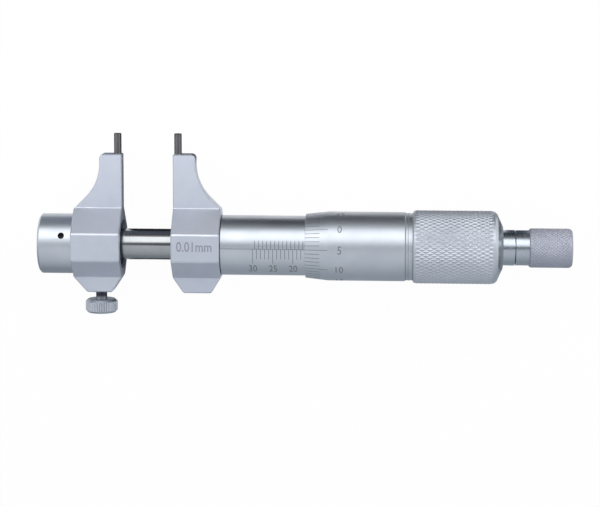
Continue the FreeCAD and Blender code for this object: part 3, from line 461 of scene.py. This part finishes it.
profile = [(THIMBLE_LEFT, THIMBLE_BORE), (THIMBLE_LEFT, THIMBLE_EDGE - EDGE_BREAK),
           (THIMBLE_LEFT + EDGE_BREAK, THIMBLE_EDGE), (THIMBLE_LEFT + BEVEL_LENGTH, THIMBLE_RADIUS),
           (PLAIN_RIGHT - SHOULDER_BREAK, THIMBLE_RADIUS), (PLAIN_RIGHT, THIMBLE_RADIUS - SHOULDER_BREAK),
           (PLAIN_RIGHT, GROOVE_RADIUS)]
for ring in GROOVE_RINGS:
    profile += [(ring, GROOVE_RADIUS), (ring + EDGE_BREAK, GROOVE_RADIUS - RING_DEPTH),
                (ring + RING_WIDTH - EDGE_BREAK, GROOVE_RADIUS - RING_DEPTH), (ring + RING_WIDTH, GROOVE_RADIUS)]
profile += [(KNURL_LEFT, GROOVE_RADIUS), (KNURL_LEFT, KNURL_ROOT - KNURL_BREAK),
            (KNURL_LEFT + KNURL_BREAK, KNURL_ROOT), (KNURL_END, KNURL_ROOT), (CONE_LEFT, CONE_TOP),
            (THIMBLE_RIGHT, CONE_FOOT), (THIMBLE_RIGHT, CARRIER_HOLE), (CONE_LEFT, CARRIER_HOLE),
            (CONE_LEFT, THIMBLE_BORE)]
bm = bmesh.new()
turned(bm, profile, THIMBLE_SIDES)
diamond_knurl(bm, KNURL_LEFT, KNURL_END, KNURL_ROOT, KNURL_TIP, KNURL_AROUND, KNURL_PITCH)
thimble = finished("knurled_thimble", bm, thimble_chrome, "thimble")
thimble.data.materials.append(knurl_chrome)
thimble.data.materials.append(bright_chrome)
for face in thimble.data.polygons:
    if KNURL_LEFT * MM < face.center.x < KNURL_END * MM:
        face.material_index = 1
    elif face.center.x > CONE_LEFT * MM:
        face.material_index = 2
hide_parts("thimble")

# Painted shade lies in the corners of the groove beside the knurl, and where the ratchet's carrier comes out of the
# thimble: matt rings darker than the plate. A line of it in the groove is its left end and its width, and at the
# carrier it is a profile from the thimble's end.
SHADE_PROUD = 0.02
SHADE_SUNK = 0.1
GROOVE_SHADE = ((PLAIN_RIGHT - 0.02, 0.22), (PLAIN_RIGHT + 0.75, 0.1), (KNURL_LEFT - 0.22, 0.26))
CARRIER_SHADE = [(-0.55, 6.59), (0.02, 5.33), (0.02, 4.43), (0.5, 4.43), (0.5, 4.3), (-0.15, 4.3), (-0.15, 5.3),
               (-0.55, 6.5)]
corner_shade = paint_fill("painted_shade_in_turned_corners", "70767E", "80868E")
bm = bmesh.new()
for left, width in GROOVE_SHADE:
    turned(bm, [(left, GROOVE_RADIUS - SHADE_SUNK), (left, GROOVE_RADIUS + SHADE_PROUD),
                (left + width, GROOVE_RADIUS + SHADE_PROUD), (left + width, GROOVE_RADIUS - SHADE_SUNK)], THIMBLE_SIDES)
turned(bm, [(THIMBLE_RIGHT + along, radius) for along, radius in CARRIER_SHADE], THIMBLE_SIDES)
finished("thimble_corner_shade", bm, corner_shade, "thimble")

# The thimble's scale is engraved on its bevel and filled with the same matt grey enamel: fifty divisions of 0.01 mm,
# a longer mark at every fifth, and a number beside it. The fifth division faces the sleeve's line.
DIVISIONS = 50
FRONT_DIVISION = 5
SHORT_LINE = 3.65
LONG_LINE = 5.65
THIMBLE_NUMBER_HEIGHT = 2.0
THIMBLE_NUMBER_NARROW = 0.85
THIMBLE_NUMBER_ALONG = THIMBLE_LEFT + 8.63
bevel_slope = math.degrees(math.atan((THIMBLE_RADIUS - THIMBLE_EDGE) / BEVEL_LENGTH))
bm = bmesh.new()
for division in range(DIVISIONS):
    numbered = division % 5 == 0
    angle = (FRONT_DIVISION - division) * 360 / DIVISIONS
    length = LONG_LINE if numbered else SHORT_LINE
    engrave_along(bm, THIMBLE_EDGE, THIMBLE_LEFT + EDGE_BREAK, length, angle, bevel_slope)
    if numbered:
        number_round(bm, str(division), THIMBLE_NUMBER_HEIGHT, THIMBLE_NUMBER_NARROW, THIMBLE_RADIUS,
                     THIMBLE_NUMBER_ALONG, angle)
finished("thimble_scale", bm, scale_grey, "thimble")

# The ratchet's carrier screws into the measuring screw. The knob turns on it past a lapped wheel with teeth, and a stop
# screw keeps it on. The carrier and the knob are turned, bored and chrome plated, brighter than the thimble, but for
# the knob's fine diamond knurl, which is dull and a little blue.
dress(bright_chrome, "ratchet_carrier")
dress(lapped_steel, "ratchet_wheel")
knob_chrome = metal("satin_chrome_plate_on_fine_knurl", "B4B6C2", "AAADB9", roughness=0.6, spread=0.04, grain=0.12)
KNOB_LIP = 85.77
KNOB_LEFT = 85.93
KNOB_FLOOR = 87.33
KNOB_NECK_RIGHT = 89.13
KNOB_RIGHT = 99.83
KNOB_HOLE = 1.85
KNOB_BORE = 3.5
LIP_BORE = 3.75
KNOB_NECK = 4.4
KNOB_ROOT = 4.85
KNOB_TIP = 4.925
KNOB_AROUND = 44
KNOB_PITCH = 0.95
KNOB_SIDES = 96
KNOB_NECK_BREAK = 0.3
KNOB_END_BREAK = (0.5, 0.4)
KNOB_BORE_BREAK = 0.1
KNOB_KNURL = (KNOB_NECK_RIGHT + 0.15, KNOB_RIGHT - 0.35)
bm = bmesh.new()
turned(bm, [
    (KNOB_LEFT, KNOB_HOLE), (KNOB_LEFT, LIP_BORE), (KNOB_LIP, LIP_BORE), (KNOB_LIP, KNOB_NECK - EDGE_BREAK),
    (KNOB_LIP + EDGE_BREAK, KNOB_NECK), (KNOB_NECK_RIGHT, KNOB_NECK), (KNOB_NECK_RIGHT, KNOB_ROOT - KNOB_NECK_BREAK),
    (KNOB_NECK_RIGHT + KNOB_NECK_BREAK, KNOB_ROOT), (KNOB_RIGHT - KNOB_END_BREAK[0], KNOB_ROOT),
    (KNOB_RIGHT, KNOB_ROOT - KNOB_END_BREAK[1]), (KNOB_RIGHT, KNOB_BORE + KNOB_BORE_BREAK),
    (KNOB_RIGHT - KNOB_BORE_BREAK, KNOB_BORE), (KNOB_FLOOR, KNOB_BORE), (KNOB_FLOOR, KNOB_HOLE),
], KNOB_SIDES)
diamond_knurl(bm, *KNOB_KNURL, KNOB_ROOT, KNOB_TIP, KNOB_AROUND, KNOB_PITCH)
knob = finished("knurled_ratchet_knob", bm, knob_chrome, "ratchet_knob")
knob.data.materials.append(bright_chrome)
for face in knob.data.polygons:
    if face.center.x < (KNOB_NECK_RIGHT + EDGE_BREAK) * MM:
        face.material_index = 1
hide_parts("ratchet_knob")

# The ratchet's spring is wound from round spring steel wire, drawn smooth and slightly brown. It stands between the
# wheel and the stop screw's head, and the wheel presses it together as it slides back.
WIRE_RADIUS = 0.24
COIL_RADIUS = 2.45
COIL_TURNS = 4
STEPS_PER_TURN = 36
COIL_CLEARANCE = 0.03
spring_wire = metal("drawn_spring_steel_wire", "8A8985", "6F6E6B", roughness=0.3, spread=0.05, grain=0.08)
spring_left, spring_right = [corner[0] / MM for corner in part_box("ratchet_spring")]
coil_left = spring_left + WIRE_RADIUS + COIL_CLEARANCE
coil_rise = spring_right - WIRE_RADIUS - coil_left
coil_steps = COIL_TURNS * STEPS_PER_TURN
bm = bmesh.new()
wire_end = bmesh.ops.create_circle(bm, cap_ends=True, radius=WIRE_RADIUS, segments=12, matrix=(
    Matrix.Translation((coil_left, 0, COIL_RADIUS)) @ Matrix.Rotation(math.radians(90), 4, "X")))["verts"]
bmesh.ops.spin(bm, geom=with_edges_and_faces(wire_end), cent=(0, 0, 0), axis=(1, 0, 0),
               dvec=(coil_rise / coil_steps, 0, 0), angle=2 * math.pi * COIL_TURNS, steps=coil_steps)
coil = finished("coiled_ratchet_spring", bm, spring_wire, "thimble")
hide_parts("ratchet_spring")
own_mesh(coil)

# The small screws hold the key, the barrel, the guide tube and the knob. They are steel, blackened in hot oil, which
# leaves a dull blue-black skin.
black_oxide = metal("oil_blackened_steel", "35373B", "2A2B2E", roughness=0.42, spread=0.08, grain=0.1)
dress(black_oxide, "key_screw", "barrel_set_screw", "tube_set_screw", "stop_screw")

# The camera stands half a metre above the instrument and looks down on its scale, from a little towards the arms and
# a little to the right, as the photograph does.
IMAGE_WIDTH = 600
SENSOR_WIDTH = 36
FOCAL_PIXELS = 1986.3
CAMERA_DISTANCE = 500
CAMERA_TO_THE_RIGHT = math.radians(2.9)
CAMERA_TO_THE_ARMS = math.radians(7.9)
CAMERA_ROLL = math.radians(0.20)
LOOKED_AT = Vector((31.84, -2.01, 0))
camera_data = bpy.data.cameras.new("camera")
camera_data.sensor_width = SENSOR_WIDTH
camera_data.lens = SENSOR_WIDTH * FOCAL_PIXELS / IMAGE_WIDTH
camera_data.clip_start = 0.01
camera_data.clip_end = 20
camera = bpy.data.objects.new("camera", camera_data)
bpy.context.scene.collection.objects.link(camera)
turn = (Matrix.Rotation(CAMERA_TO_THE_RIGHT, 4, "Y") @ Matrix.Rotation(-CAMERA_TO_THE_ARMS, 4, "X")
        @ Matrix.Rotation(CAMERA_ROLL, 4, "Z"))
stand = LOOKED_AT + turn.to_3x3() @ Vector((0, 0, CAMERA_DISTANCE))
camera.matrix_world = Matrix.Translation(stand * MM) @ turn
bpy.context.scene.camera = camera

# The table is a matt white sheet that the instrument lies on. The camera and the metal see it nearly white, and the
# rest of it is its own paint, which takes the instrument's shadow.
TABLE_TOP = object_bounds()[0][2]
TABLE_REACH = 3000
WHITE_SHARE = 0.97


def seen_or_mirrored(tree):
    """1 for what the camera sees, straight or mirrored in metal or through glass, and 0 for what only gives light."""
    path = add_node(tree, "LightPath").outputs
    seen = add_node(tree, "Math", {0: path["Is Camera Ray"], 1: path["Is Glossy Ray"]},
                    operation="MAXIMUM").outputs[0]
    return add_node(tree, "Math", {0: seen, 1: path["Is Transmission Ray"]}, operation="MAXIMUM").outputs[0]


white_sheet, tree = new_material("matt_white_sheet")
paint = add_node(tree, "BsdfDiffuse", {"Color": linear("F4F5F6")}).outputs["BSDF"]
glow = add_node(tree, "Emission", {"Color": (1, 1, 1, 1), "Strength": 1.0}).outputs["Emission"]
share = add_node(tree, "Math", {0: seen_or_mirrored(tree), 1: WHITE_SHARE}, operation="MULTIPLY").outputs[0]
surface = add_node(tree, "MixShader", {"Fac": share, 1: paint, 2: glow}).outputs["Shader"]
add_node(tree, "OutputMaterial", {"Surface": surface})
bm = bmesh.new()
bmesh.ops.create_grid(bm, x_segments=1, y_segments=1, size=TABLE_REACH * MM,
                      matrix=Matrix.Translation((0, 0, TABLE_TOP)))
table = placed("table", bm, white_sheet)

# The light is a white room, and a broad soft box over the arms' side that is a quarter brighter than white. The room
# gives less light than the white that the camera and the metal see.
ROOM_LIGHT = 0.7
BOX_DISTANCE = 85
BOX_LENGTH = 560
BOX_MIDDLE = 35
BOX_ANGLE = math.radians(40)
BOX_HALF_ANGLE = math.radians(23)
BOX_STRENGTH = 1.25
world = bpy.data.worlds.new("white_room")
world.use_nodes = True
world.node_tree.nodes.clear()
bpy.context.scene.world = world
strength = add_node(world.node_tree, "MapRange", {"Value": seen_or_mirrored(world.node_tree), "To Min": ROOM_LIGHT,
                                                  "To Max": 1.0}).outputs["Result"]
room = add_node(world.node_tree, "Background", {"Color": (1, 1, 1, 1), "Strength": strength}).outputs["Background"]
add_node(world.node_tree, "OutputWorld", {"Surface": room})
box_data = bpy.data.lights.new("soft_box", "AREA")
box_data.shape = "RECTANGLE"
box_data.size = BOX_LENGTH * MM
box_data.size_y = 2 * BOX_DISTANCE * math.tan(BOX_HALF_ANGLE) * MM
box_data.energy = BOX_STRENGTH * math.pi * box_data.size * box_data.size_y
soft_box = bpy.data.objects.new("soft_box", box_data)
bpy.context.scene.collection.objects.link(soft_box)
soft_box.visible_camera = False
soft_box.matrix_world = (Matrix.Rotation(-BOX_ANGLE, 4, "X")
                         @ Matrix.Translation((BOX_MIDDLE * MM, 0, BOX_DISTANCE * MM)))

# Metal is lit by what it mirrors, so grey and black cards stand round the table, as a photographer sets them. Only
# the metal sees them. A shade is an axis, two places on it, and the card's tone at each.
CARDS_LEFT = -420
CARDS_RIGHT = 490
CARD_OVER_TABLE = 0.1


def show_card(name, bm, shade):
    """A card with its shade, which only metal mirrors."""
    axis, start, end, start_tone, end_tone = shade
    paper, tree = new_material(name + "_paper")
    place = add_node(tree, "SeparateXYZ", {0: add_node(tree, "TexCoord").outputs["Object"]}).outputs[axis]
    share = add_node(tree, "MapRange", {"Value": place, "From Min": start * MM, "From Max": end * MM}).outputs["Result"]
    tone = add_node(tree, "Mix", {"Factor": share, "A": linear(start_tone), "B": linear(end_tone)},
                    data_type="RGBA").outputs[2]
    glow = add_node(tree, "Emission", {"Color": tone, "Strength": 1.0}).outputs["Emission"]
    add_node(tree, "OutputMaterial", {"Surface": glow})
    made = placed(name, bm, paper)
    for ray in ("camera", "diffuse", "shadow", "transmission", "volume_scatter"):
        setattr(made, "visible_" + ray, False)


def curved_card(name, radius, from_angle, to_angle, shade):
    """A curved card along the table, between two angles from straight up towards the arms' side."""
    bm = bmesh.new()
    ends = [bm.verts.new((along * MM, 0, radius * MM)) for along in (CARDS_LEFT, CARDS_RIGHT)]
    edge = bm.edges.new(ends)
    bmesh.ops.rotate(bm, matrix=Matrix.Rotation(math.radians(-from_angle), 3, "X"), verts=ends)
    bmesh.ops.spin(bm, geom=ends + [edge], cent=(0, 0, 0), axis=(-1, 0, 0),
                   angle=math.radians(to_angle - from_angle), steps=24, use_duplicate=False)
    show_card(name, bm, shade)


def table_card(name, left, right, near, far, shade):
    """A card on the table, from left to right along the instrument, and from near to far towards the arms' side."""
    bm = bmesh.new()
    bmesh.ops.create_grid(bm, x_segments=1, y_segments=1, size=0.5, matrix=(
        Matrix.Translation(((left + right) / 2 * MM, (near + far) / 2 * MM, TABLE_TOP + CARD_OVER_TABLE * MM))
        @ Matrix.Diagonal(((right - left) * MM, (far - near) * MM, 1, 1))))
    show_card(name, bm, shade)


# The lower halves of the round pieces mirror the grey cards, and their upper edges the black ones. The dark card is
# the line under their bright band. The last three are painted shade: the table's shade under the ratchet's knob and
# neck, and between the jaws, which the knob, the neck and the tube mirror.
curved_card("grey_card", 380, -91, -3, ("Z", 0, 380, "B3B9BF", "F0F3F8"))
curved_card("dark_card", 400, -4, 25, ("X", -105, -50, "C8CDD4", "666C74"))
curved_card("black_card", 380, 64, 91, ("Z", 0, 380, "252C3A", "FFFFFF"))
table_card("grey_table_card", CARDS_LEFT, CARDS_RIGHT, -380, -9.3, ("X", -60, 0, "868D95", "AEB5BC"))
table_card("near_black_table_card", CARDS_LEFT, 93.5, 20, 60, ("X", -45, 20, "8A93A2", "1C242E"))
table_card("far_black_table_card", CARDS_LEFT, 115, 60, 380, ("X", -45, 20, "8A93A2", "1C242E"))
table_card("knob_shade_card", 84, 125, -9.2, 7.9, ("X", 84, 125, "5A626C", "7A828C"))
table_card("neck_shade_card", 84, 90, 8, 20, ("X", 0, 1, "4A5464", "4A5464"))
table_card("gap_shade_card", -12.8, -0.2, -24, 19.9, ("X", 0, 1, "2E3238", "2E3238"))

bpy.context.scene.view_settings.view_transform = "Standard"
